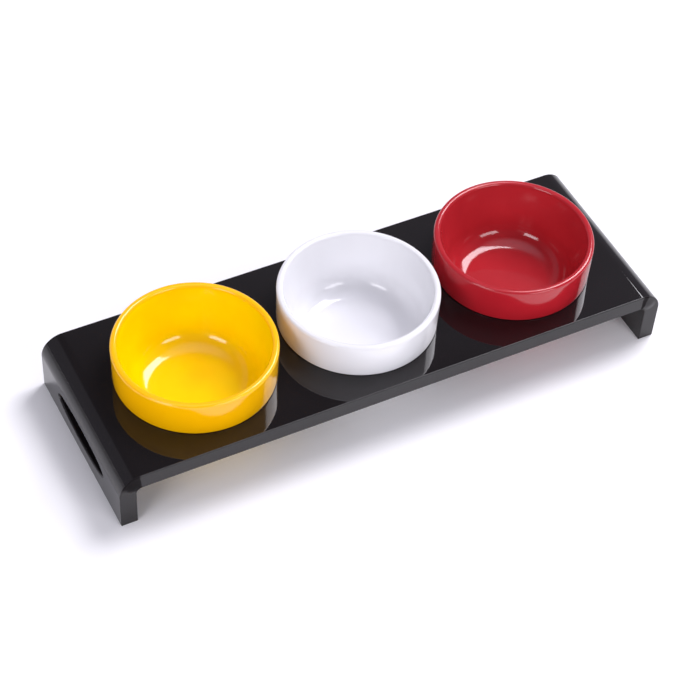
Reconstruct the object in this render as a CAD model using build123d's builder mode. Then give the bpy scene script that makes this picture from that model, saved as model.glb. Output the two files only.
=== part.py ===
"""Condiment stand: a black acrylic sheet bent down at both ends, with three glazed
ceramic dip bowls in a row.

Each bowl hangs through its own round hole. A shoulder round the bowl rests on the
sheet and a narrower body below it passes through, so a bowl lifts straight out.
Millimetres, +Z up. The origin is the middle of the footprint on the table, X runs
along the row and -Y is the front.
"""

import os

from build123d import *

# The row
bowl_colours = ("yellow", "white", "red")
bowl_gap = 8.0
end_margin = 23.5
side_margin = 10.5

# Outside of a bowl
rim_diameter = 95.0
rim_above_sheet = 23.5
outer_draft = 0.5
shoulder_width = 5.0
shoulder_edge_radius = 1.0
neck_radius = 0.4
lower_body_radius = 16.0
straight_beside_curve = 1.0
foot_diameter = 50.0
foot_width = 4.0
foot_height = 1.5
foot_edge_radius = 0.6

# Inside of a bowl
rim_wall = 3.6
lip_radius = 1.7
lower_wall = 3.6
inside_depth = 37.5
inside_corner_radius = 14.0
floor_thickness = 4.5

# Bent sheet
sheet_thickness = 10.0
bend_inner_radius = 3.5
cut_edge_radius = 0.6
hole_clearance = 0.5
table_clearance = 17.5

# Oval handhold in each leg
handhold_length = 66.0
handhold_height = 13.4
handhold_edge_radius = 1.0
land_above_handhold = 0.5

# Swelling that hot bending leaves on the sheet's cut edges
swelling_diameter = 8.4
swelling_height = 0.8

# Sizes of the row that follow from those above
rim_radius = rim_diameter / 2
shoulder_radius = rim_radius - outer_draft
body_radius = shoulder_radius - shoulder_width
hole_radius = body_radius + hole_clearance
bowl_pitch = rim_diameter + bowl_gap
middle_of_row = (len(bowl_colours) - 1) / 2
bowl_places = [(number - middle_of_row) * bowl_pitch for number in range(len(bowl_colours))]

# Heights in a bowl, from the top of the sheet
inside_floor = rim_above_sheet - inside_depth
underside_of_bowl = inside_floor - floor_thickness
foot_level = underside_of_bowl - foot_height

# The lower body's curve is as round as the foot and the sheet's top leave room for
foot_radius = foot_diameter / 2
body_curve_radius = min(
    lower_body_radius,
    body_radius - foot_radius - straight_beside_curve,
    -underside_of_bowl - neck_radius - straight_beside_curve,
)

# Sizes of the stand that follow from those above
bend_outer_radius = bend_inner_radius + sheet_thickness
sheet_top = table_clearance - foot_level
sheet_underside = sheet_top - sheet_thickness
outer_half_length = bowl_places[-1] + rim_radius + end_margin
inner_half_length = outer_half_length - sheet_thickness
half_width = rim_radius + side_margin
handhold_top = sheet_top - bend_outer_radius - land_above_handhold - handhold_edge_radius
handhold_level = handhold_top - handhold_height / 2

os.makedirs("parts", exist_ok=True)

# A swelling is a shallow cap, standing on the plane of the cut edge
cap_radius = swelling_diameter / 2
ball_radius = (cap_radius**2 + swelling_height**2) / (2 * swelling_height)
with BuildPart() as swelling:
    with Locations((0, 0, swelling_height - ball_radius)):
        Sphere(ball_radius)
    split(bisect_by=Plane.XY)

# The swellings sit half way through the sheet, on the diagonal of each bend
bend_axis_x = outer_half_length - bend_outer_radius
bend_axis_z = sheet_top - bend_outer_radius
to_mid_sheet = (bend_inner_radius + sheet_thickness / 2) / 2**0.5
swelling_planes = [
    Plane(
        origin=(end * (bend_axis_x + to_mid_sheet), face * half_width, bend_axis_z + to_mid_sheet),
        x_dir=(1, 0, 0),
        z_dir=(0, face, 0),
    )
    for end in (-1, 1)
    for face in (-1, 1)
]

with BuildPart() as stand:
    with BuildSketch(Plane.XZ) as section:
        with BuildLine():
            Polyline(
                (-outer_half_length, 0),
                (-outer_half_length, sheet_top),
                (outer_half_length, sheet_top),
                (outer_half_length, 0),
                (inner_half_length, 0),
                (inner_half_length, sheet_underside),
                (-inner_half_length, sheet_underside),
                (-inner_half_length, 0),
                close=True,
            )
        make_face()
        fillet(section.vertices().group_by(Axis.Y)[-2], radius=bend_inner_radius)
        fillet(section.vertices().group_by(Axis.Y)[-1], radius=bend_outer_radius)
    extrude(amount=half_width, both=True)

    with BuildSketch(Plane.XY.offset(sheet_top)):
        with Locations(*[(place, 0) for place in bowl_places]):
            Circle(hole_radius)
    extrude(amount=-sheet_thickness, mode=Mode.SUBTRACT)
    hole_rims = stand.edges(Select.LAST).filter_by(Plane.XY)
    fillet(hole_rims, radius=cut_edge_radius)

    with BuildSketch(Plane.YZ.offset(-outer_half_length)):
        with Locations((0, handhold_level)):
            Ellipse(handhold_length / 2, handhold_height / 2)
    extrude(amount=2 * outer_half_length, mode=Mode.SUBTRACT)
    handhold_rims = stand.edges(Select.LAST).filter_by(Plane.YZ)
    fillet(handhold_rims, radius=handhold_edge_radius)

    fillet(stand.faces().filter_by(Axis.Y).edges(), radius=cut_edge_radius)

    with Locations(*swelling_planes):
        add(swelling.part)

stand.part.label = "stand"
export_step(stand.part, "parts/stand.step")

# The inside wall leans in straight from the lip, and is one wall clear of the body's top
inner_rim_radius = rim_radius - rim_wall
inner_body_radius = body_radius - lower_wall
lean = (inner_rim_radius - inner_body_radius) / rim_above_sheet
inner_floor_radius = inner_body_radius + lean * inside_floor

# Corners of a bowl's half section, each a radius and a height above the sheet
recess_corner = (foot_radius - foot_width, underside_of_bowl)
foot_inside = (foot_radius - foot_width, foot_level)
foot_outside = (foot_radius, foot_level)
foot_top = (foot_radius, underside_of_bowl)
body_corner = (body_radius, underside_of_bowl)
neck = (body_radius, 0)
shoulder_edge = (shoulder_radius, 0)
lip_outside = (rim_radius, rim_above_sheet)
lip_inside = (inner_rim_radius, rim_above_sheet)
inside_corner = (inner_floor_radius, inside_floor)

for colour, place in zip(bowl_colours, bowl_places):
    bowl_plane = Plane(origin=(place, 0, sheet_top), x_dir=(1, 0, 0), z_dir=(0, -1, 0))
    with BuildPart() as bowl:
        with BuildSketch(bowl_plane) as half_section:
            with BuildLine():
                Polyline(
                    (0, underside_of_bowl),
                    recess_corner,
                    foot_inside,
                    foot_outside,
                    foot_top,
                    body_corner,
                    neck,
                    shoulder_edge,
                    lip_outside,
                    lip_inside,
                    inside_corner,
                    (0, inside_floor),
                    close=True,
                )
            make_face()
            for corner, radius in (
                (foot_inside, foot_edge_radius),
                (foot_outside, foot_edge_radius),
                (body_corner, body_curve_radius),
                (neck, neck_radius),
                (shoulder_edge, shoulder_edge_radius),
                (lip_outside, lip_radius),
                (lip_inside, lip_radius),
                (inside_corner, inside_corner_radius),
            ):
                fillet(half_section.vertices().sort_by_distance(corner)[0], radius=radius)
        revolve(axis=Axis((place, 0, 0), (0, 0, 1)))
    bowl.part.label = f"{colour}_bowl"
    export_step(bowl.part, f"parts/{colour}_bowl.step")
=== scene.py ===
"""Dresses the condiment stand: a bent black acrylic sheet with three glazed dip bowls.

The file is laid out as an add-on. Its property groups hold the sizes, the colours, the
lamps and the camera. One operator makes the sheet, one the bowls and one the studio, and
main runs them in turn. Metres, +Z up, in the frame of the packed model: X runs along the
row of bowls and -Y is the front.
"""

import math

import bmesh
import bpy
from mathutils import Matrix, Vector


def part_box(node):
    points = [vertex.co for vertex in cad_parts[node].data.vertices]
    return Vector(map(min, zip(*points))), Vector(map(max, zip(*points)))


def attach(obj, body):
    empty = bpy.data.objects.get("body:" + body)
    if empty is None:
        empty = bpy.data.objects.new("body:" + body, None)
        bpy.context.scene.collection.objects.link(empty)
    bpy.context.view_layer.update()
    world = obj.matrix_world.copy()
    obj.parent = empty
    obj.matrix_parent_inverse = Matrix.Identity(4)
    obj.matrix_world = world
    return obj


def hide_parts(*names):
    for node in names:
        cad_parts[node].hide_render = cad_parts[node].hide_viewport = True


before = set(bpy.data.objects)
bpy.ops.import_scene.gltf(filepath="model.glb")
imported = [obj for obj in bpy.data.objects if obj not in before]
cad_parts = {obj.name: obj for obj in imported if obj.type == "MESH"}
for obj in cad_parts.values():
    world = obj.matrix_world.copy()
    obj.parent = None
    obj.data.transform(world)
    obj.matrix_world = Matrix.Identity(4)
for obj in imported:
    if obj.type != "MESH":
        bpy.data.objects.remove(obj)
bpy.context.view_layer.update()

bl_info = {
    "name": "Condiment Stand",
    "version": (1, 0, 0),
    "blender": (4, 5, 0),
    "location": "3D View > Sidebar > Condiment Stand",
    "description": "Makes a bent acrylic stand with three glazed dip bowls and a studio round it",
    "category": "Object",
}

MM = 0.001

# Taken from the packed model: the middle of each bowl along the row, to a tenth of a
# millimetre, and the right back upper corner of the stand's box
COLOURS = ("yellow", "white", "red")
PLACES = {name: round(sum(end[0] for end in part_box(f"{name}_bowl")) / 2, 4) for name in COLOURS}
STAND_HIGH = Vector(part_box("stand")[1])

# The kinds of node that the trees use most
MATHS = "ShaderNodeMath"
VECTOR_MATHS = "ShaderNodeVectorMath"
RANGE = "ShaderNodeMapRange"
NOISE = "ShaderNodeTexNoise"
BUMP = "ShaderNodeBump"
MIX = "ShaderNodeMix"
ATTRIBUTE = "ShaderNodeAttribute"
STORE = "GeometryNodeStoreNamedAttribute"
SEPARATE = "ShaderNodeSeparateXYZ"
COMBINE = "ShaderNodeCombineXYZ"

# The setting of a range that starts and ends gently
SMOOTH = {"interpolation_type": "SMOOTHSTEP"}


def linear(code):
    """Turns an sRGB hex colour into the linear values that shaders and lamps take."""
    levels = [int(code[start : start + 2], 16) / 255 for start in (1, 3, 5)]
    return [
        level / 12.92 if level <= 0.04045 else ((level + 0.055) / 1.055) ** 2.4
        for level in levels
    ]


def length(name, millimetres, description):
    """A size that the sidebar shows as a distance."""
    return bpy.props.FloatProperty(
        name=name,
        description=description,
        default=millimetres * MM,
        min=0.0,
        subtype="DISTANCE",
        unit="LENGTH",
        precision=5,
    )


def colour(name, code, description):
    """A colour that the sidebar shows as a swatch."""
    return bpy.props.FloatVectorProperty(
        name=name, description=description, default=linear(code), min=0.0, max=1.0, subtype="COLOR"
    )


def angle(name, degrees, description):
    """A direction that the sidebar shows in degrees."""
    return bpy.props.FloatProperty(
        name=name,
        description=description,
        default=math.radians(degrees),
        subtype="ANGLE",
        unit="ROTATION",
    )


def light_level(name, brightness, description):
    """How bright a lamp's face or a wall is, where white paper in full light is 1."""
    return bpy.props.FloatProperty(name=name, description=description, default=brightness, min=0.0)


class AcrylicSheet(bpy.types.PropertyGroup):
    """Sizes of the sheet that the bowls hang in."""

    thickness: length("Thickness", 10.0, "Thickness of the acrylic")
    bend_radius: length("Bend Radius", 3.5, "Inner radius of the bend at each end")
    edge_radius: length("Edge Radius", 0.6, "Rounding that polishing leaves on a cut edge")
    foot_radius: length("Foot Radius", 0.35, "Rounding of the edges that stand on the table")
    hole_radius: length("Hole Radius", 42.5, "Radius of the round hole for a bowl")
    handhold_length: length("Handhold Length", 66.0, "Length of the oval handhold in a leg")
    handhold_height: length("Handhold Height", 13.4, "Height of the oval handhold in a leg")
    handhold_edge: length("Handhold Edge", 1.0, "Rounding of the handhold's edge")
    handhold_land: length("Handhold Land", 0.5, "Flat left between bend and handhold edge")
    swelling: length("Swelling", 0.8, "Height of the swelling that bending leaves on an edge")
    swelling_reach: length("Swelling Reach", 5.2, "How far the swelling spreads")


class DipBowl(bpy.types.PropertyGroup):
    """Sizes of a glazed bowl, all three alike."""

    rim_radius: length("Rim Radius", 47.5, "Outer radius at the rim")
    rim_height: length("Rim Height", 23.5, "Height of the rim above the sheet")
    draft: length("Draft", 0.5, "How far the outside leans out on its way to the rim")
    shoulder_width: length("Shoulder Width", 5.0, "Width of the ledge that rests on the sheet")
    rim_wall: length("Rim Wall", 3.6, "Wall at the rim")
    lower_wall: length("Lower Wall", 3.6, "Wall at the level of the sheet")
    depth: length("Depth", 37.5, "Depth inside")
    floor: length("Floor", 4.5, "Thickness of the floor")
    foot_radius: length("Foot Radius", 25.0, "Outer radius of the foot ring")
    foot_width: length("Foot Width", 4.0, "Width of the foot ring")
    foot_height: length("Foot Height", 1.5, "Height of the foot ring")
    lip_round: length("Lip Rounding", 1.7, "Rounding of the lip, inside and outside")
    shoulder_round: length("Shoulder Rounding", 1.0, "Rounding of the ledge's outer edge")
    neck_round: length("Neck Rounding", 0.4, "Rounding where the ledge meets the body")
    body_round: length("Body Rounding", 16.0, "Rounding of the lower body")
    foot_round: length("Foot Rounding", 0.6, "Rounding of the foot ring")
    inside_round: length("Inside Rounding", 14.0, "Rounding between wall and floor inside")
    unevenness: length("Unevenness", 0.12, "How far the fired wall strays from true")


class Finishes(bpy.types.PropertyGroup):
    """Colours of the acrylic, the glazes and the table."""

    acrylic: colour("Acrylic", "#181516", "Body colour of the black acrylic")
    yellow: colour("Yellow Glaze", "#FFBD00", "Egg yellow glaze")
    # Painted light and shade: the inside of the bowl takes its own copy of the glaze colour
    yellow_inside: colour("Yellow Inside", "#FFDD00", "Thinner yellow glaze inside the bowl")
    # Partly the glaze thinning on the lip, partly painted rim light
    yellow_thin_and_rim_light: colour("Yellow Thin", "#FFC00C", "Yellow glaze where it thins on an edge")
    yellow_deep: colour("Yellow Pooled", "#FCAE02", "Yellow glaze where it gathers")
    white: colour("White Glaze", "#F0F0F2", "Clear glaze on white clay")
    # Painted light and shade: the inside of the bowl takes its own copy of the glaze colour
    white_inside: colour("White Inside", "#ECECEE", "White glaze inside the bowl")
    # Partly the glaze thinning on the lip, partly painted rim light
    white_thin_and_rim_light: colour("White Thin", "#E8E8EA", "White glaze where it thins on an edge")
    white_deep: colour("White Pooled", "#E6E7EB", "White glaze where it gathers")
    red: colour("Red Glaze", "#B8212B", "Cherry red glaze")
    # Painted light and shade: the inside of the bowl takes its own copy of the glaze colour
    red_inside: colour("Red Inside", "#BD2B33", "Thinner red glaze inside the bowl")
    # Partly the glaze thinning on the lip, partly painted rim light
    red_thin_and_rim_light: colour("Red Thin", "#B0232C", "Red glaze where it thins on an edge")
    red_deep: colour("Red Pooled", "#9A101E", "Red glaze where it gathers")
    clay: colour("Bare Clay", "#E4DCCB", "Unglazed clay of the foot ring")
    table: colour("Table", "#FCFCFC", "Matt white table top")


class Studio(bpy.types.PropertyGroup):
    """Lamps, room and camera."""

    key_level: light_level("Key Level", 12.3, "Brightness of the large softbox on the right")
    front_level: light_level("Front Level", 6.6, "Brightness of the softbox in front")
    side_level: light_level("Side Level", 7.8, "Brightness of the softbox on the left")
    wall_level: light_level("Wall Level", 0.32, "Brightness of the pale wall behind the table")
    ceiling_level: light_level("Ceiling Level", 1.1, "Brightness of the ceiling straight overhead")
    room_level: light_level("Room Level", 0.1, "Brightness of the rest of the room")
    camera_place: bpy.props.FloatVectorProperty(
        name="Camera Place",
        description="Where the camera stands",
        default=(-0.41294, -0.70932, 0.91264),
        subtype="XYZ",
        unit="LENGTH",
    )
    camera_heading: angle("Heading", -29.35, "Turn of the camera about the vertical")
    camera_tilt: angle("Tilt", 50.22, "How far the camera looks down")
    camera_roll: angle("Roll", 3.6, "Roll of the camera about its line of sight")
    camera_lens: bpy.props.FloatProperty(
        name="Lens", description="Focal length in mm, on a 36 mm sensor", default=105.8
    )
    camera_shift: bpy.props.FloatVectorProperty(
        name="Shift",
        description="Shift of the lens, in frame widths",
        default=(0.0313, 0.1217),
        size=2,
    )


def add_node(tree, kind, inputs=(), **settings):
    """Adds a node with its settings. An input takes a node's output, a socket or a value."""
    node = tree.nodes.new(kind)
    for name, value in settings.items():
        setattr(node, name, value)
    in_use = {socket.name: socket for socket in reversed(node.inputs) if socket.enabled}
    for name, value in dict(inputs).items():
        socket = node.inputs[name] if isinstance(name, int) else in_use[name]
        if isinstance(value, bpy.types.Node):
            value = next(output for output in value.outputs if output.enabled)
        if isinstance(value, bpy.types.NodeSocket):
            tree.links.new(value, socket)
        else:
            socket.default_value = value
    return node


def labelled(group):
    """The values of a property group, each under the name that the sidebar shows."""
    properties = group.bl_rna.properties
    return {properties[key].name: getattr(group, key) for key in type(group).__annotations__}


def new_tree(name, sizes):
    """Starts a geometry tree with a mesh, the named sizes and a material as its inputs."""
    tree = bpy.data.node_groups.new(name, "GeometryNodeTree")
    tree.interface.new_socket("Geometry", in_out="OUTPUT", socket_type="NodeSocketGeometry")
    tree.interface.new_socket("Geometry", in_out="INPUT", socket_type="NodeSocketGeometry")
    for size in sizes:
        tree.interface.new_socket(size, in_out="INPUT", socket_type="NodeSocketFloat")
    tree.interface.new_socket("Material", in_out="INPUT", socket_type="NodeSocketMaterial")
    return tree, tree.nodes.new("NodeGroupInput").outputs


def end_tree(tree, geometry, material):
    """Closes a geometry tree: smooth shading, real geometry and the piece's material."""
    smooth = add_node(tree, "GeometryNodeSetShadeSmooth", {"Geometry": geometry})
    real = add_node(tree, "GeometryNodeRealizeInstances", {"Geometry": smooth})
    finished = add_node(tree, "GeometryNodeSetMaterial", {"Geometry": real, "Material": material})
    add_node(tree, "NodeGroupOutput", {"Geometry": finished})


def shape_with(piece, tree, values):
    """Runs a geometry tree on a piece and keeps the result as its plain mesh."""
    modifier = piece.modifiers.new(tree.name, "NODES")
    modifier.node_group = tree
    for socket in tree.interface.items_tree:
        if socket.in_out == "INPUT" and socket.name in values:
            modifier[socket.identifier] = values[socket.name]
    depsgraph = bpy.context.evaluated_depsgraph_get()
    shaped = bpy.data.meshes.new_from_object(
        piece.evaluated_get(depsgraph), preserve_all_data_layers=True, depsgraph=depsgraph
    )
    piece.modifiers.clear()
    shaped.name = piece.name
    piece.data = shaped


def new_piece(name):
    """Puts a new object with an empty mesh in the scene, at the origin."""
    piece = bpy.data.objects.new(name, bpy.data.meshes.new(name))
    bpy.context.scene.collection.objects.link(piece)
    return piece


def new_material(name):
    """Starts a material with an empty tree."""
    material = bpy.data.materials.new(name)
    material.use_nodes = True
    material.node_tree.nodes.clear()
    return material, material.node_tree


def end_material(tree, inputs):
    """Closes a material's tree: its shader, with what feeds it, and the surface."""
    shader = add_node(tree, "ShaderNodeBsdfPrincipled", inputs)
    add_node(tree, "ShaderNodeOutputMaterial", {"Surface": shader})


def spaced(start, stop, count):
    """Evenly spaced values, this many steps from start to stop, both ends included."""
    return [start + (stop - start) * step / count for step in range(count + 1)]


def between(near, far, share):
    """The place this share of the way from one place to another."""
    return tuple(start + (stop - start) * share for start, stop in zip(near, far))


def neighbours(loop):
    """The number of each place in a closed loop, with the number of the next one."""
    return [(here, (here + 1) % len(loop)) for here in range(len(loop))]


# The sheet

# Faces along the flat sheet: over a bowl's share of the row, up to the bend, round the bend
# and down the leg
ROW_FACES = 60
LAND_FACES = 4
BEND_FACES = 32
LEG_FACES = 28

# Faces across the sheet: in the middle strip, which is a little wider than the handhold, and
# in the strip on each side of it
MIDDLE_FACES = 56
SIDE_FACES = 10
BESIDE_HANDHOLD = 5 * MM

# The mark of a cut edge fades out over this much of the face beside its rounding
CUT_EDGE_FADE = 0.2 * MM

# The patch of painted shade on each bend's cut edge, as turns round the bend: it sets in,
# thins out and ends. It ends later on the left bend and sooner on the right one
SHADE_IN = math.radians(8.0)
SHADE_THINS = math.radians(25.0)
SHADE_ENDS = math.radians(45.0)
LEFT_HASTE = 0.55
RIGHT_HASTE = 1.5

# Roughness of the acrylic: a clean face, a wiped one, a cut edge and a bend's painted shade
CLEAN = 0.015
WIPED = 0.05
CUT = 0.4
SHADE_PATCH = 0.6


class Hole:
    """A round or oval hole in the flat sheet, with the rounding of its edge."""

    def __init__(self, x, y, half_x, half_y, edge):
        self.x, self.y, self.half_x, self.half_y, self.edge = x, y, half_x, half_y, edge

    def point(self, facing, outside):
        """The point where the hole's wall faces this way, this far outside the hole."""
        turn = math.atan2(self.half_y * math.sin(facing), self.half_x * math.cos(facing))
        return (
            self.x + self.half_x * math.cos(turn) + outside * math.cos(facing),
            self.y + self.half_y * math.sin(turn) + outside * math.sin(facing),
        )


class FlatSheet:
    """The sheet as it is cut, before bending: x along it, y across, its face at z = 0."""

    # Faces round a cut edge's rounding, down its wall and round the edge of a sole
    EDGE_FACES = 6
    WALL_FACES = 14
    SOLE_FACES = 4

    # A narrow band beside a rounding keeps the flat beside it flat in the shading. Round a
    # hole, rings of faces follow, at these shares of the way to the patch's outline
    SUPPORT = 0.25 * MM
    FADES = (0.1, 0.3, 0.6)

    def __init__(self, sizes, half_length, half_width):
        self.sizes = sizes
        self.mesh = bmesh.new()
        self.found = {}
        self.half_length = half_length
        self.half_width = half_width

    def vertex(self, x, y, z):
        """The vertex at a place, made once and shared by the faces round it."""
        place = tuple(round(value / MM, 4) for value in (x, y, z))
        if place not in self.found:
            self.found[place] = self.mesh.verts.new((x, y, z))
        return self.found[place]

    def face(self, places):
        """A face through these places, unless it is there already or has no area."""
        corners = []
        for place in places:
            corner = self.vertex(*place)
            if corner not in corners:
                corners.append(corner)
        if len(corners) > 2 and self.mesh.faces.get(corners) is None:
            self.mesh.faces.new(corners)

    def both_skins(self, flat_places):
        """A face on the sheet's face and the same one on its back."""
        self.face([(x, y, 0.0) for x, y in flat_places])
        self.face([(x, y, -self.sizes.thickness) for x, y in reversed(flat_places)])

    def plain_patch(self, xs, ys):
        """A grid of faces on both skins."""
        for x0, x1 in zip(xs, xs[1:]):
            for y0, y1 in zip(ys, ys[1:]):
                self.both_skins([(x0, y0), (x1, y0), (x1, y1), (x0, y1)])

    def hole_patch(self, xs, ys, hole):
        """Rings of faces from a hole's edge out to the patch's outline, and the hole's wall."""
        outline = [(x, ys[0]) for x in xs[:-1]]
        outline += [(xs[-1], y) for y in ys[:-1]]
        outline += [(x, ys[-1]) for x in reversed(xs[1:])]
        outline += [(xs[0], y) for y in reversed(ys[1:])]
        middle_x, middle_y = (xs[0] + xs[-1]) / 2, (ys[0] + ys[-1]) / 2
        facings = [
            math.atan2((y - middle_y) / (ys[-1] - middle_y), (x - middle_x) / (xs[-1] - middle_x))
            for x, y in outline
        ]
        support = [hole.point(facing, hole.edge + self.SUPPORT) for facing in facings]
        rings = [[hole.point(facing, hole.edge) for facing in facings], support]
        for fade in self.FADES:
            rings.append([between(near, far, fade) for near, far in zip(support, outline)])
        rings.append(outline)
        for inner, outer in zip(rings, rings[1:]):
            for here, there in neighbours(outline):
                self.both_skins([inner[here], outer[here], outer[there], inner[there]])
        wall = [
            [(*hole.point(facing, outside), z) for facing in facings]
            for outside, z in self.edge_section(hole.edge)
        ]
        for upper, lower in zip(wall, wall[1:]):
            for here, there in neighbours(outline):
                self.face([upper[here], upper[there], lower[there], lower[here]])

    def edge_section(self, radius):
        """A cut edge from the face to the back: how far inside the wall's plane, how deep."""
        thickness = self.sizes.thickness
        turns = spaced(0.0, math.pi / 2, self.EDGE_FACES)
        upper = [(radius * (1 - math.sin(turn)), radius * (math.cos(turn) - 1)) for turn in turns]
        wall = [(0.0, z) for z in spaced(-radius, radius - thickness, self.WALL_FACES)]
        lower = [(inside, -thickness - z) for inside, z in reversed(upper)]
        return upper[:-1] + wall + lower[1:]

    def long_edges(self, xs):
        """The cut edges along the front and the back."""
        section = self.edge_section(self.sizes.edge_radius)
        for side in (-1, 1):
            for x0, x1 in zip(xs, xs[1:]):
                for (in0, z0), (in1, z1) in zip(section, section[1:]):
                    y0, y1 = side * (self.half_width - in0), side * (self.half_width - in1)
                    quad = [(x0, y0, z0), (x0, y1, z1), (x1, y1, z1), (x1, y0, z0)]
                    self.face(quad[::-side])

    def foot(self, end, ys):
        """The end that stands on the table: a rounded edge all round and a flat sole."""
        radius = self.sizes.foot_radius
        section = self.edge_section(self.sizes.edge_radius)
        middle = len(section) // 2
        upper = [(-self.half_width + inside, z) for inside, z in reversed(section[: middle + 1])]
        upper += [(y, 0.0) for y in ys[1:-1]]
        upper += [(-y, z) for y, z in reversed(upper[: middle + 1])]
        lower = [(y, -self.sizes.thickness - z) for y, z in upper]
        loop = upper + lower[-2:0:-1]
        core_y = self.half_width - self.sizes.edge_radius
        core_z = (-self.sizes.edge_radius, self.sizes.edge_radius - self.sizes.thickness)

        def drawn_in(place, inset):
            """A place on the loop, moved towards the core of the leg's end."""
            y, z = place
            away_y = y - max(-core_y, min(core_y, y))
            away_z = z - max(core_z[1], min(core_z[0], z))
            reach = math.hypot(away_y, away_z) or 1.0
            return y - away_y / reach * inset, z - away_z / reach * inset

        rings = []
        for turn in spaced(0.0, math.pi / 2, self.SOLE_FACES):
            x = end * (self.half_length - radius + radius * math.sin(turn))
            inset = radius * (1 - math.cos(turn))
            rings.append([(x, *drawn_in(place, inset)) for place in loop])
        for inner, outer in zip(rings, rings[1:]):
            for here, there in neighbours(loop):
                quad = [inner[here], outer[here], outer[there], inner[there]]
                self.face(quad[::end])

        # The sole is a strip across the leg, with a fan of corners at each end
        sole, far = rings[-1], len(upper) - 1
        self.face((sole[-middle:] + sole[: middle + 1])[::-end])
        self.face(sole[far - middle : far + middle + 1][::-end])
        for here in range(middle, far - middle):
            quad = [sole[here], sole[here + 1], sole[-here - 1], sole[-here]]
            self.face(quad[::-end])


def cut_sheet(sizes):
    """Cuts the flat sheet: three round holes in a row and an oval in each leg."""
    outer_radius = sizes.bend_radius + sizes.thickness
    bend_start = STAND_HIGH.x - outer_radius
    bend_length = (sizes.bend_radius + sizes.thickness / 2) * math.pi / 2
    leg_start = bend_start + bend_length
    leg_length = STAND_HIGH.z - outer_radius
    half_length = leg_start + leg_length
    half_width = STAND_HIGH.y - sizes.swelling
    sheet = FlatSheet(sizes, half_length, half_width)

    pitch = PLACES["red"] - PLACES["white"]
    skin = half_width - sizes.edge_radius
    half_strip = sizes.handhold_length / 2 + BESIDE_HANDHOLD
    side_ys = spaced(half_strip, skin - FlatSheet.SUPPORT, SIDE_FACES) + [skin]
    middle_ys = spaced(-half_strip, half_strip, MIDDLE_FACES)
    ys = [-y for y in reversed(side_ys)] + middle_ys[1:-1] + side_ys

    along = []
    for place in PLACES.values():
        xs = spaced(place - pitch / 2, place + pitch / 2, ROW_FACES)
        round_hole = Hole(place, 0.0, sizes.hole_radius, sizes.hole_radius, sizes.edge_radius)
        sheet.hole_patch(xs, ys[1:-1], round_hole)
        sheet.plain_patch(xs, ys[:2])
        sheet.plain_patch(xs, ys[-2:])
        along += xs

    sole = half_length - sizes.foot_radius
    land = spaced(PLACES["red"] + pitch / 2, bend_start, LAND_FACES)
    bend = spaced(bend_start, leg_start, BEND_FACES)
    down = spaced(leg_start, sole - FlatSheet.SUPPORT, LEG_FACES)
    handhold = sizes.handhold_land + sizes.handhold_edge + sizes.handhold_height / 2
    for end in (-1, 1):
        for xs in (land, bend, (down[-1], sole)):
            sheet.plain_patch(sorted(end * x for x in xs), ys)
        leg_xs = sorted(end * x for x in down)
        sheet.plain_patch(leg_xs, side_ys)
        sheet.plain_patch(leg_xs, [-y for y in reversed(side_ys)])
        oval = Hole(
            end * (leg_start + handhold),
            0.0,
            sizes.handhold_height / 2,
            sizes.handhold_length / 2,
            sizes.handhold_edge,
        )
        sheet.hole_patch(leg_xs, middle_ys, oval)
        sheet.foot(end, ys)
        along += [end * x for x in (*land, *bend, *down, sole)]
    sheet.long_edges(sorted(set(along)))
    return sheet.mesh


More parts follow.
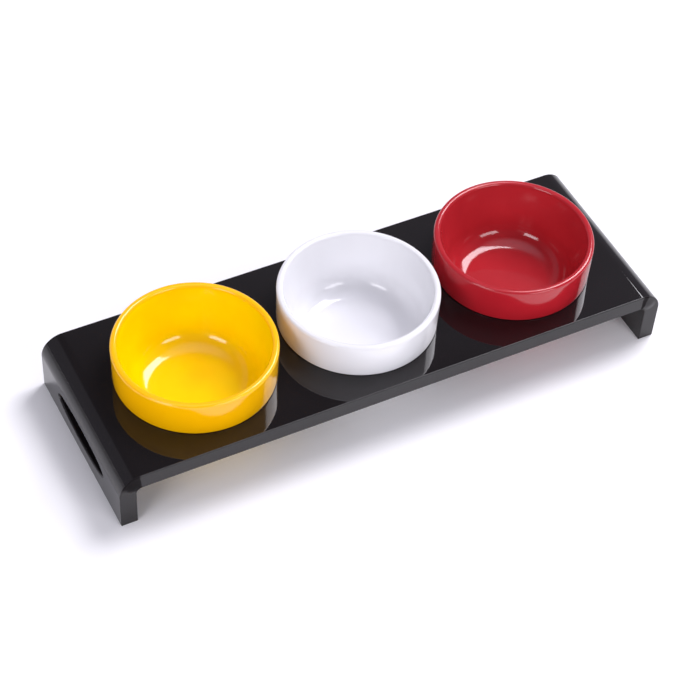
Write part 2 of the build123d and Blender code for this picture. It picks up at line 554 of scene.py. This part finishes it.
def bending_tree():
    """Bends both ends of a flat sheet down, and swells the cut edges at the bends."""
    tree, inputs = new_tree(
        "Bend Sheet",
        ("Top", "Bend Start", "Bend Radius", "Thickness", "Swelling", "Swelling Reach", "Cut Edge"),
    )
    top, start, thickness = inputs["Top"], inputs["Bend Start"], inputs["Thickness"]
    flat_place = add_node(tree, "GeometryNodeInputPosition")
    x, y, z = add_node(tree, SEPARATE, {0: flat_place}).outputs

    # The bend turns the middle of the sheet's thickness without stretching it, and what lies
    # past the bend goes straight down
    outer = add_node(tree, MATHS, {0: inputs["Bend Radius"], 1: thickness}, operation="ADD")
    middle = add_node(
        tree, MATHS, {0: thickness, 1: 0.5, 2: inputs["Bend Radius"]}, operation="MULTIPLY_ADD"
    )
    quarter = add_node(tree, MATHS, {0: middle, 1: math.pi / 2}, operation="MULTIPLY")
    along = add_node(tree, MATHS, {0: x}, operation="ABSOLUTE")
    past = add_node(tree, MATHS, {0: along, 1: start}, operation="SUBTRACT")
    turn = add_node(tree, RANGE, {"Value": past, "From Max": quarter, "To Max": math.pi / 2})
    leg = add_node(tree, MATHS, {0: past, 1: quarter}, operation="SUBTRACT")
    leg = add_node(tree, MATHS, {0: leg, 1: 0.0}, operation="MAXIMUM")
    radius = add_node(tree, MATHS, {0: outer, 1: z}, operation="ADD")
    flat = add_node(tree, MATHS, {0: along, 1: start}, operation="MINIMUM")
    sine = add_node(tree, MATHS, {0: turn}, operation="SINE")
    cosine = add_node(tree, MATHS, {0: turn}, operation="COSINE")
    out = add_node(tree, MATHS, {0: radius, 1: sine, 2: flat}, operation="MULTIPLY_ADD")
    up = add_node(tree, MATHS, {0: radius, 1: cosine, 2: top}, operation="MULTIPLY_ADD")
    up = add_node(tree, MATHS, {0: up, 1: outer}, operation="SUBTRACT")
    up = add_node(tree, MATHS, {0: up, 1: leg}, operation="SUBTRACT")

    # The swelling fades from a core in the middle of the thickness, half way round the bend
    to_core = add_node(tree, MATHS, {0: middle, 1: math.sqrt(0.5)}, operation="MULTIPLY")
    core_x = add_node(tree, MATHS, {0: start, 1: to_core}, operation="ADD")
    core_z = add_node(tree, MATHS, {0: top, 1: outer}, operation="SUBTRACT")
    core_z = add_node(tree, MATHS, {0: core_z, 1: to_core}, operation="ADD")
    core = add_node(tree, COMBINE, {"X": core_x, "Z": core_z})
    bent = add_node(tree, COMBINE, {"X": out, "Z": up})
    away = add_node(tree, VECTOR_MATHS, {0: bent, 1: core}, operation="DISTANCE")
    swell = add_node(
        tree,
        RANGE,
        {
            "Value": away,
            "From Max": inputs["Swelling Reach"],
            "To Min": inputs["Swelling"],
            "To Max": 0.0,
        },
        **SMOOTH,
    )
    x_side = add_node(tree, MATHS, {0: x}, operation="SIGN")
    y_side = add_node(tree, MATHS, {0: y}, operation="SIGN")
    x_out = add_node(tree, MATHS, {0: out, 1: x_side}, operation="MULTIPLY")
    y_out = add_node(tree, MATHS, {0: swell, 1: y_side, 2: y}, operation="MULTIPLY_ADD")
    moved = add_node(tree, COMBINE, {"X": x_out, "Y": y_out, "Z": up})

    # The finish is laid out on the flat sheet. Its marks are the cut edges and the stretch of
    # each bend whose cut edge takes painted shade
    edge = add_node(tree, MATHS, {0: y}, operation="ABSOLUTE")
    edge = add_node(tree, MATHS, {0: edge, 1: inputs["Cut Edge"]}, operation="SUBTRACT")
    edge = add_node(tree, RANGE, {"Value": edge, "From Min": -CUT_EDGE_FADE, "From Max": 0.0})
    begun = add_node(tree, RANGE, {"Value": turn, "From Max": SHADE_IN})
    haste = add_node(
        tree,
        RANGE,
        {"Value": x, "From Min": -MM, "From Max": MM, "To Min": LEFT_HASTE, "To Max": RIGHT_HASTE},
    )
    over = add_node(tree, MATHS, {0: turn, 1: haste}, operation="MULTIPLY")
    over = add_node(
        tree,
        RANGE,
        {
            "Value": over,
            "From Min": SHADE_THINS,
            "From Max": SHADE_ENDS,
            "To Min": 1.0,
            "To Max": 0.0,
        },
    )
    painted_bend_shade = add_node(tree, MATHS, {0: begun, 1: over}, operation="MULTIPLY")
    sheet = inputs["Geometry"]
    for name, value, data_type in (
        ("flat_place", flat_place, "FLOAT_VECTOR"),
        ("cut_edge", edge, "FLOAT"),
        ("painted_bend_shade", painted_bend_shade, "FLOAT"),
    ):
        stored = {"Geometry": sheet, "Name": name, "Value": value}
        sheet = add_node(tree, STORE, stored, data_type=data_type)
    bent_sheet = add_node(tree, "GeometryNodeSetPosition", {"Geometry": sheet, "Position": moved})
    end_tree(tree, bent_sheet, inputs["Material"])
    return tree


def gloss_black_cast_acrylic(finishes):
    """Cell-cast acrylic, black all through: deep, nearly black and mirror smooth."""
    material, tree = new_material("gloss_black_cast_acrylic")
    flat = add_node(tree, ATTRIBUTE, attribute_name="flat_place").outputs["Vector"]
    edge = add_node(tree, ATTRIBUTE, attribute_name="cut_edge").outputs["Fac"]
    painted_bend_shade = add_node(tree, ATTRIBUTE, attribute_name="painted_bend_shade").outputs["Fac"]

    # Faint wipe marks, 30 mm long and 14 mm across, are all that dulls the faces. A cut edge
    # is duller
    wiped = add_node(tree, "ShaderNodeMapping", {"Vector": flat, "Scale": (1.0, 2.2, 1.0)})
    wiped = add_node(
        tree, NOISE, {"Vector": wiped, "Scale": 1 / (30 * MM), "Detail": 3.0, "Roughness": 0.6}
    )
    wiped = add_node(
        tree,
        RANGE,
        {"Value": wiped, "From Min": 0.4, "From Max": 0.75, "To Min": CLEAN, "To Max": WIPED},
    )
    cut = add_node(tree, MIX, {"Factor": edge, "A": wiped, "B": CUT}, data_type="FLOAT")

    # At each bend the cut edge takes painted shade in a ragged patch: dull, with its reflection
    # cut back so that it shows dark
    ragged = add_node(tree, NOISE, {"Vector": flat, "Scale": 1 / (4 * MM), "Detail": 3.0})
    ragged = add_node(tree, MATHS, {0: ragged, 1: painted_bend_shade}, operation="ADD")
    painted_shade = add_node(tree, RANGE, {"Value": ragged, "From Min": 0.85, "From Max": 1.2})
    painted_shade = add_node(tree, MATHS, {0: painted_shade, 1: edge}, operation="MULTIPLY")
    dulled = add_node(tree, MIX, {"Factor": painted_shade, "A": cut, "B": SHADE_PATCH}, data_type="FLOAT")
    shine = add_node(tree, RANGE, {"Value": painted_shade, "To Min": 0.5, "To Max": 0.08})

    # Cast sheet is never quite flat: gentle waves about 70 mm long bend what it mirrors. A
    # cut edge keeps the ripples of the saw, 1.5 mm apart and drawn out across the thickness
    waves = add_node(tree, NOISE, {"Vector": flat, "Scale": 1 / (70 * MM), "Detail": 0.0})
    waves = add_node(tree, BUMP, {"Distance": 0.05 * MM, "Height": waves})
    ripples = add_node(tree, "ShaderNodeMapping", {"Vector": flat, "Scale": (1.0, 0.2, 0.2)})
    ripples = add_node(tree, NOISE, {"Vector": ripples, "Scale": 1 / (1.5 * MM), "Detail": 1.0})
    ripples = add_node(tree, MATHS, {0: ripples, 1: edge}, operation="MULTIPLY")
    ripples = add_node(tree, BUMP, {"Distance": 0.03 * MM, "Height": ripples, "Normal": waves})
    surface = {
        "Base Color": (*finishes.acrylic, 1.0),
        "IOR": 1.49,
        "Roughness": dulled,
        "Specular IOR Level": shine,
        "Normal": ripples,
    }
    end_material(tree, surface)
    return material


class CONDIMENT_OT_bend_sheet(bpy.types.Operator):
    """Cut the black acrylic sheet and bend its ends down"""

    bl_idname = "condiment.bend_sheet"
    bl_label = "Bend the Sheet"

    def execute(self, context):
        sizes = context.scene.acrylic_sheet
        flat = cut_sheet(sizes)
        stand = new_piece("acrylic_stand")
        flat.to_mesh(stand.data)
        flat.free()
        values = {
            **labelled(sizes),
            "Top": STAND_HIGH.z,
            "Bend Start": STAND_HIGH.x - sizes.bend_radius - sizes.thickness,
            "Cut Edge": STAND_HIGH.y - sizes.swelling - sizes.edge_radius,
            "Material": gloss_black_cast_acrylic(context.scene.stand_finishes),
        }
        shape_with(stand, bending_tree(), values)
        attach(stand, "stand")
        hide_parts("stand")
        return {"FINISHED"}


# The bowls

# A rounding gets the least number of points and more for each millimetre of its radius, and
# no straight stretch of the half section runs on further than this
LEAST_POINTS = 7.0
POINTS_PER_MM = 1.2
LONGEST_RUN = 1.5 * MM

# Sides of a turned bowl, and how near each other the points on its axis are merged
BOWL_SIDES = 288
AXIS_MERGE = 0.004 * MM

# How far apart two bowls lie in the pattern of firing, so that no two are alike
FIRING_STEP = 3.7

# How much of the pooled colour the glaze takes where it drifts most, and where it gathers
DRIFT_SHARE = 0.25
POOL_SHARE = 0.06

# Roughness of the glaze and of the bare clay
GLAZED = 0.1
BARE = 0.8


def rounded_outline(tree, corners):
    """A curve through corners, each a distance out, a height and a rounding."""
    number = add_node(tree, "GeometryNodeInputIndex")
    corner = add_node(tree, "GeometryNodeIndexSwitch", data_type="VECTOR")
    rounding = add_node(tree, "GeometryNodeIndexSwitch", data_type="FLOAT")

    # A new index switch has two items already
    for switch in (corner, rounding):
        for _ in corners[2:]:
            switch.index_switch_items.new()
        tree.links.new(number.outputs[0], switch.inputs["Index"])
    for item, (out, up, radius) in enumerate(corners, start=1):
        point = add_node(tree, COMBINE, {"X": out, "Y": up})
        tree.links.new(point.outputs[0], corner.inputs[item])
        if isinstance(radius, bpy.types.NodeSocket):
            tree.links.new(radius, rounding.inputs[item])
    points = add_node(tree, "GeometryNodePoints", {"Count": len(corners), "Position": corner})
    sharp = add_node(tree, "GeometryNodePointsToCurves", {"Points": points})
    count = add_node(
        tree,
        MATHS,
        {0: rounding, 1: POINTS_PER_MM / MM, 2: LEAST_POINTS},
        operation="MULTIPLY_ADD",
    )
    rounded = add_node(
        tree,
        "GeometryNodeFilletCurve",
        {"Curve": sharp, "Count": count, "Radius": rounding, "Limit Radius": True},
        mode="POLY",
    )
    place = add_node(tree, "GeometryNodeInputPosition")
    next_number = add_node(tree, MATHS, {0: number, 1: 1.0}, operation="ADD")
    next_place = add_node(
        tree,
        "GeometryNodeFieldAtIndex",
        {"Value": place, "Index": next_number},
        data_type="FLOAT_VECTOR",
    )
    run = add_node(tree, VECTOR_MATHS, {0: place, 1: next_place}, operation="DISTANCE")
    cuts = add_node(tree, MATHS, {0: run, 1: LONGEST_RUN}, operation="DIVIDE")
    return add_node(tree, "GeometryNodeSubdivideCurve", {"Curve": rounded, "Cuts": cuts})


def turn_on_wheel(tree, outline):
    """Turns a half section full circle and closes it on the axis."""
    # The wheel is a small circle. The half section is moved in by its radius, so that both
    # have one axis, and mirrored, because the circle carries it upside down
    wheel_radius = 1 * MM
    round_wheel = {"Resolution": BOWL_SIDES, "Radius": wheel_radius}
    wheel = add_node(tree, "GeometryNodeCurvePrimitiveCircle", round_wheel)
    section = add_node(
        tree,
        "GeometryNodeTransform",
        {"Geometry": outline, "Translation": (-wheel_radius, 0.0, 0.0), "Scale": (1.0, -1.0, 1.0)},
    )
    wall = add_node(tree, "GeometryNodeCurveToMesh", {"Curve": wheel, "Profile Curve": section})
    return add_node(tree, "GeometryNodeMergeByDistance", {"Geometry": wall, "Distance": AXIS_MERGE})


def throwing_tree(sizes):
    """Throws a bowl: lays out its half section, turns it, marks its glaze and fires it."""
    tree, inputs = new_tree("Throw Bowl", ("Place", "Level", *sizes, "Firing"))
    rim, rim_height = inputs["Rim Radius"], inputs["Rim Height"]
    foot = inputs["Foot Radius"]
    shoulder = add_node(tree, MATHS, {0: rim, 1: inputs["Draft"]}, operation="SUBTRACT")
    body = add_node(tree, MATHS, {0: shoulder, 1: inputs["Shoulder Width"]}, operation="SUBTRACT")
    inner_rim = add_node(tree, MATHS, {0: rim, 1: inputs["Rim Wall"]}, operation="SUBTRACT")
    inner_body = add_node(tree, MATHS, {0: body, 1: inputs["Lower Wall"]}, operation="SUBTRACT")
    spread = add_node(tree, MATHS, {0: inner_rim, 1: inner_body}, operation="SUBTRACT")
    lean = add_node(tree, MATHS, {0: spread, 1: rim_height}, operation="DIVIDE")
    floor = add_node(tree, MATHS, {0: rim_height, 1: inputs["Depth"]}, operation="SUBTRACT")
    inner_floor = add_node(
        tree, MATHS, {0: lean, 1: floor, 2: inner_body}, operation="MULTIPLY_ADD"
    )
    underside = add_node(tree, MATHS, {0: floor, 1: inputs["Floor"]}, operation="SUBTRACT")
    sole = add_node(tree, MATHS, {0: underside, 1: inputs["Foot Height"]}, operation="SUBTRACT")
    inner_foot = add_node(tree, MATHS, {0: foot, 1: inputs["Foot Width"]}, operation="SUBTRACT")

    # Corners of the half section, from the middle of the floor inside to the one underneath:
    # how far from the middle, how high above the sheet, how round
    corners = (
        (0.0, floor, 0.0),
        (inner_floor, floor, inputs["Inside Rounding"]),
        (inner_rim, rim_height, inputs["Lip Rounding"]),
        (rim, rim_height, inputs["Lip Rounding"]),
        (shoulder, 0.0, inputs["Shoulder Rounding"]),
        (body, 0.0, inputs["Neck Rounding"]),
        (body, underside, inputs["Body Rounding"]),
        (foot, underside, 0.0),
        (foot, sole, inputs["Foot Rounding"]),
        (inner_foot, sole, inputs["Foot Rounding"]),
        (inner_foot, underside, 0.0),
        (0.0, underside, 0.0),
    )
    bowl = turn_on_wheel(tree, rounded_outline(tree, corners))

    # The glaze is marked inside the bowl, where its colour paints in light and shade, where it
    # thins at the lip and its colour is partly painted rim light, low down inside where it
    # gathers, and where it is wiped off the foot. Each mark fades out over a distance, from
    # the inside wall, the rim, the floor and the sole
    place = add_node(tree, "GeometryNodeInputPosition")
    height = add_node(tree, SEPARATE, {0: place}).outputs["Z"]
    below_rim = add_node(tree, MATHS, {0: rim_height, 1: height}, operation="SUBTRACT")
    above_floor = add_node(tree, MATHS, {0: height, 1: floor}, operation="SUBTRACT")
    above_sole = add_node(tree, MATHS, {0: height, 1: sole}, operation="SUBTRACT")
    level_place = add_node(tree, VECTOR_MATHS, {0: place, 1: (1.0, 1.0, 0.0)}, operation="MULTIPLY")
    from_axis = add_node(tree, VECTOR_MATHS, {0: level_place}, operation="LENGTH")
    wall = add_node(tree, MATHS, {0: lean, 1: height, 2: inner_body}, operation="MULTIPLY_ADD")
    in_wall = add_node(tree, MATHS, {0: from_axis, 1: wall}, operation="SUBTRACT")
    marks = {}
    for name, distance, near, far, fade in (
        ("inside", in_wall, 0.4 * MM, inputs["Rim Wall"], {}),
        ("lip", below_rim, 0.3 * MM, 2.6 * MM, SMOOTH),
        ("pool", above_floor, 1 * MM, 11 * MM, SMOOTH),
        ("bare", above_sole, 0.3 * MM, 0.5 * MM, {}),
    ):
        marks[name] = add_node(
            tree,
            RANGE,
            {"Value": distance, "From Min": near, "From Max": far, "To Min": 1.0, "To Max": 0.0},
            **fade,
        )

    # Glaze runs off a slope, so it gathers only where the wall has turned to the floor
    facing = add_node(tree, "GeometryNodeInputNormal")
    facing_up = add_node(tree, SEPARATE, {0: facing}).outputs["Z"]
    level_enough = add_node(
        tree, RANGE, {"Value": facing_up, "From Min": 0.3, "From Max": 0.9}, **SMOOTH
    )
    marks["pool"] = add_node(tree, MATHS, {0: marks["pool"], 1: level_enough}, operation="MULTIPLY")
    for name, amount in marks.items():
        bowl = add_node(tree, STORE, {"Geometry": bowl, "Name": name, "Value": amount})

    # Firing pulls the wall a little out of true, but not where it rests on the sheet. The
    # noise strays by half a unit, so it is doubled
    wander = add_node(
        tree,
        NOISE,
        {"Vector": place, "W": inputs["Firing"], "Scale": 1 / (40 * MM), "Detail": 0.0},
        noise_dimensions="4D",
    ).outputs["Color"]
    wander = add_node(tree, VECTOR_MATHS, {0: wander, 1: (0.5, 0.5, 0.5)}, operation="SUBTRACT")
    free = add_node(
        tree,
        RANGE,
        {"Value": height, "From Min": 2 * MM, "From Max": 10 * MM, "To Max": 2.0},
        **SMOOTH,
    )
    pull = add_node(tree, MATHS, {0: free, 1: inputs["Unevenness"]}, operation="MULTIPLY")
    wander = add_node(tree, VECTOR_MATHS, {0: wander, "Scale": pull}, operation="SCALE")
    fired = add_node(tree, "GeometryNodeSetPosition", {"Geometry": bowl, "Offset": wander})
    home = add_node(tree, COMBINE, {"X": inputs["Place"], "Z": inputs["Level"]})
    placed = add_node(tree, "GeometryNodeTransform", {"Geometry": fired, "Translation": home})
    end_tree(tree, placed, inputs["Material"])
    return tree


def glazed_earthenware(name, finishes):
    """Thrown earthenware under a gloss glaze: even, wet-looking colour with soft edges."""
    material, tree = new_material(f"{name}_gloss_glaze")
    place = add_node(tree, "ShaderNodeTexCoord").outputs["Object"]
    inside, lip, pool, bare = (
        add_node(tree, ATTRIBUTE, attribute_name=mark).outputs["Fac"]
        for mark in ("inside", "lip", "pool", "bare")
    )

    # The colour drifts a little over 25 mm. It changes a touch inside, where it paints in light
    # and shade, and on the lip, where the glaze is thinner and the colour partly paints in rim
    # light, and where it gathers
    drift = add_node(tree, NOISE, {"Vector": place, "Scale": 1 / (25 * MM), "Detail": 2.0})
    drift = add_node(tree, RANGE, {"Value": drift, "From Min": 0.35, "From Max": 0.75})
    drift = add_node(tree, MATHS, {0: drift, 1: DRIFT_SHARE}, operation="MULTIPLY")
    gathered = add_node(tree, MATHS, {0: pool, 1: POOL_SHARE, 2: drift}, operation="MULTIPLY_ADD")
    shade = (*getattr(finishes, name), 1.0)
    for share, other in (
        (inside, getattr(finishes, f"{name}_inside")),
        (gathered, getattr(finishes, f"{name}_deep")),
        (lip, getattr(finishes, f"{name}_thin_and_rim_light")),
        (bare, finishes.clay),
    ):
        shade = add_node(
            tree, MIX, {"Factor": share, "A": shade, "B": (*other, 1.0)}, data_type="RGBA"
        )
    gloss = add_node(tree, RANGE, {"Value": bare, "To Min": GLAZED, "To Max": BARE})

    # The fired glaze keeps a faint orange peel, 5 mm from crest to crest, and the bare foot
    # its half-millimetre grain
    peel = add_node(tree, NOISE, {"Vector": place, "Scale": 1 / (5 * MM), "Detail": 1.0})
    peel = add_node(tree, BUMP, {"Distance": 0.012 * MM, "Height": peel})
    grain = add_node(tree, NOISE, {"Vector": place, "Scale": 1 / (0.5 * MM), "Detail": 2.0})
    grain = add_node(tree, MATHS, {0: grain, 1: bare}, operation="MULTIPLY")
    grain = add_node(tree, BUMP, {"Distance": 0.05 * MM, "Height": grain, "Normal": peel})
    end_material(tree, {"Base Color": shade, "IOR": 1.52, "Roughness": gloss, "Normal": grain})
    return material


class CONDIMENT_OT_throw_bowls(bpy.types.Operator):
    """Throw and glaze the three dip bowls"""

    bl_idname = "condiment.throw_bowls"
    bl_label = "Throw the Bowls"

    def execute(self, context):
        sizes = labelled(context.scene.dip_bowl)
        tree = throwing_tree(sizes)
        for number, (name, place) in enumerate(PLACES.items()):
            bowl = new_piece(f"{name}_glazed_bowl")
            values = {
                **sizes,
                "Place": place,
                "Level": STAND_HIGH.z,
                "Firing": FIRING_STEP * number,
                "Material": glazed_earthenware(name, context.scene.stand_finishes),
            }
            shape_with(bowl, tree, values)
            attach(bowl, f"{name}_bowl")
            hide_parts(f"{name}_bowl")
        return {"FINISHED"}


# The studio

# The table is flat up to the first of these rings, each a radius and a height in metres, and
# sweeps up all round its edge, so that low views still see white
TABLE_SWEEP = ((1.5, 0.0), (1.8, 0.03), (2.1, 0.12), (2.4, 0.27), (2.6, 0.45))
TABLE_SIDES = 96

# Softboxes: heading from +Y towards +X, height and roll in degrees, distance, width and
# depth in metres
SOFTBOXES = {
    "key": (69.5, 54.0, 12.0, 2.0, 0.95, 1.0),
    "front": (166.0, 26.0, 0.0, 2.2, 1.1, 0.75),
    "side": (-115.0, 26.0, 0.0, 2.2, 0.95, 0.75),
}
SOFTBOX_TINT = "#FAF8FF"
ROOM_TINT = "#F0EEFF"

# Heights in degrees at which the wall ends, and between which the ceiling's light sets in
WALL_TOP = (45.0, 49.0)
CEILING = (55.0, 90.0)


def matt_white_table(finishes):
    """Matt white laminate: bright, even and without reflections."""
    material, tree = new_material("matt_white_table")
    place = add_node(tree, "ShaderNodeTexCoord").outputs["Object"]

    # A fine tooth takes the last gloss off the pressed surface. It is drawn coarser than the
    # real one, 2 mm from crest to crest, so that it shows
    tooth = add_node(tree, NOISE, {"Vector": place, "Scale": 1 / (2 * MM), "Detail": 2.0})
    tooth = add_node(tree, BUMP, {"Distance": 0.02 * MM, "Height": tooth})
    surface = {
        "Base Color": (*finishes.table, 1.0),
        "Roughness": 0.7,
        "Specular IOR Level": 0.2,
        "Normal": tooth,
    }
    end_material(tree, surface)
    return material


def lay_table(finishes):
    """Lays the round table that the stand is on."""
    table = bmesh.new()
    middle = table.verts.new((0.0, 0.0, 0.0))
    rings = [
        [
            table.verts.new((radius * math.cos(turn), radius * math.sin(turn), height))
            for turn in (math.tau * side / TABLE_SIDES for side in range(TABLE_SIDES))
        ]
        for radius, height in TABLE_SWEEP
    ]
    for here, there in neighbours(rings[0]):
        table.faces.new((middle, rings[0][here], rings[0][there]))
        for inner, outer in zip(rings, rings[1:]):
            table.faces.new((inner[here], outer[here], outer[there], inner[there]))
    top = new_piece("table_top")
    table.to_mesh(top.data)
    table.free()
    top.data.shade_smooth()
    top.data.materials.append(matt_white_table(finishes))


def hang_softbox(name, brightness):
    """Hangs a rectangular lamp that faces the stand, with a face of this brightness."""
    heading, height, roll, distance, width, depth = SOFTBOXES[name]
    data = bpy.data.lights.new(f"{name}_softbox", "AREA")
    data.shape = "RECTANGLE"
    data.size, data.size_y = width, depth
    data.energy = brightness * math.pi * data.size * data.size_y
    data.color = linear(SOFTBOX_TINT)
    lamp = bpy.data.objects.new(f"{name}_softbox", data)
    aim = Matrix.Rotation(math.radians(-heading), 4, "Z")
    aim = aim @ Matrix.Rotation(math.radians(height), 4, "X")
    lamp.matrix_world = (
        Matrix.Translation(aim @ Vector((0.0, distance, 0.0)))
        @ aim
        @ Matrix.Rotation(math.radians(-90.0), 4, "X")
        @ Matrix.Rotation(math.radians(roll), 4, "Z")
    )
    bpy.context.scene.collection.objects.link(lamp)


def dim_room(studio):
    """The room that the glaze and the acrylic mirror, dim so that black stays black.

    A pale wall behind the table lightens the far part of the sheet, which mirrors it. The
    room above the wall is dim again, up to a ceiling that is brightest straight overhead.
    """
    room = bpy.data.worlds.new("dim_room")
    room.use_nodes = True
    tree = room.node_tree
    tree.nodes.clear()
    facing = add_node(tree, "ShaderNodeTexCoord").outputs["Generated"]
    _, back, height = add_node(tree, SEPARATE, {0: facing}).outputs
    brightness = add_node(
        tree,
        RANGE,
        {"Value": back, "From Max": 0.5, "To Min": studio.room_level, "To Max": studio.wall_level},
        **SMOOTH,
    )
    for (low, high), above in ((WALL_TOP, studio.room_level), (CEILING, studio.ceiling_level)):
        brightness = add_node(
            tree,
            RANGE,
            {
                "Value": height,
                "From Min": math.sin(math.radians(low)),
                "From Max": math.sin(math.radians(high)),
                "To Min": brightness,
                "To Max": above,
            },
            **SMOOTH,
        )
    tint = (*linear(ROOM_TINT), 1.0)
    glow = add_node(tree, "ShaderNodeBackground", {"Color": tint, "Strength": brightness})
    add_node(tree, "ShaderNodeOutputWorld", {"Surface": glow})
    return room


def photo_camera(studio):
    """A camera with the photograph's place, direction and lens."""
    data = bpy.data.cameras.new("photo_camera")
    data.lens = studio.camera_lens
    data.sensor_width = 36.0
    data.sensor_fit = "HORIZONTAL"
    data.shift_x, data.shift_y = studio.camera_shift
    data.clip_start, data.clip_end = 0.05, 20.0
    camera = bpy.data.objects.new("photo_camera", data)
    camera.matrix_world = (
        Matrix.Translation(studio.camera_place)
        @ Matrix.Rotation(studio.camera_heading, 4, "Z")
        @ Matrix.Rotation(math.radians(90.0) - studio.camera_tilt, 4, "X")
        @ Matrix.Rotation(studio.camera_roll, 4, "Z")
    )
    bpy.context.scene.collection.objects.link(camera)
    return camera


class CONDIMENT_OT_set_studio(bpy.types.Operator):
    """Set up the white table, the softboxes, the dim room and the camera"""

    bl_idname = "condiment.set_studio"
    bl_label = "Set the Studio"

    def execute(self, context):
        scene = context.scene
        studio = scene.photo_studio
        lay_table(scene.stand_finishes)
        for name in SOFTBOXES:
            hang_softbox(name, getattr(studio, f"{name}_level"))
        scene.world = dim_room(studio)
        scene.camera = photo_camera(studio)
        scene.view_settings.view_transform = "Standard"
        return {"FINISHED"}


class CONDIMENT_PT_sidebar(bpy.types.Panel):
    """Buttons and sizes in the 3D view's sidebar"""

    bl_label = "Condiment Stand"
    bl_space_type = "VIEW_3D"
    bl_region_type = "UI"
    bl_category = "Condiment Stand"

    def draw(self, context):
        for operator in OPERATORS:
            self.layout.operator(operator.bl_idname)
        for name, group in GROUPS.items():
            box = self.layout.box()
            box.label(text=group.__doc__)
            settings = getattr(context.scene, name)
            for setting in group.__annotations__:
                box.prop(settings, setting)


GROUPS = {
    "acrylic_sheet": AcrylicSheet,
    "dip_bowl": DipBowl,
    "stand_finishes": Finishes,
    "photo_studio": Studio,
}
OPERATORS = (CONDIMENT_OT_bend_sheet, CONDIMENT_OT_throw_bowls, CONDIMENT_OT_set_studio)


def register():
    """Registers the classes and hangs each property group on the scene."""
    for shown in (*GROUPS.values(), *OPERATORS, CONDIMENT_PT_sidebar):
        bpy.utils.register_class(shown)
    for name, group in GROUPS.items():
        setattr(bpy.types.Scene, name, bpy.props.PointerProperty(type=group))


def unregister():
    """Takes back what register did."""
    for name in GROUPS:
        delattr(bpy.types.Scene, name)
    for shown in reversed((*GROUPS.values(), *OPERATORS, CONDIMENT_PT_sidebar)):
        bpy.utils.unregister_class(shown)


def main():
    """Makes the stand, the bowls and the studio."""
    register()
    bpy.ops.condiment.bend_sheet()
    bpy.ops.condiment.throw_bowls()
    bpy.ops.condiment.set_studio()


if __name__ == "__main__":
    main()
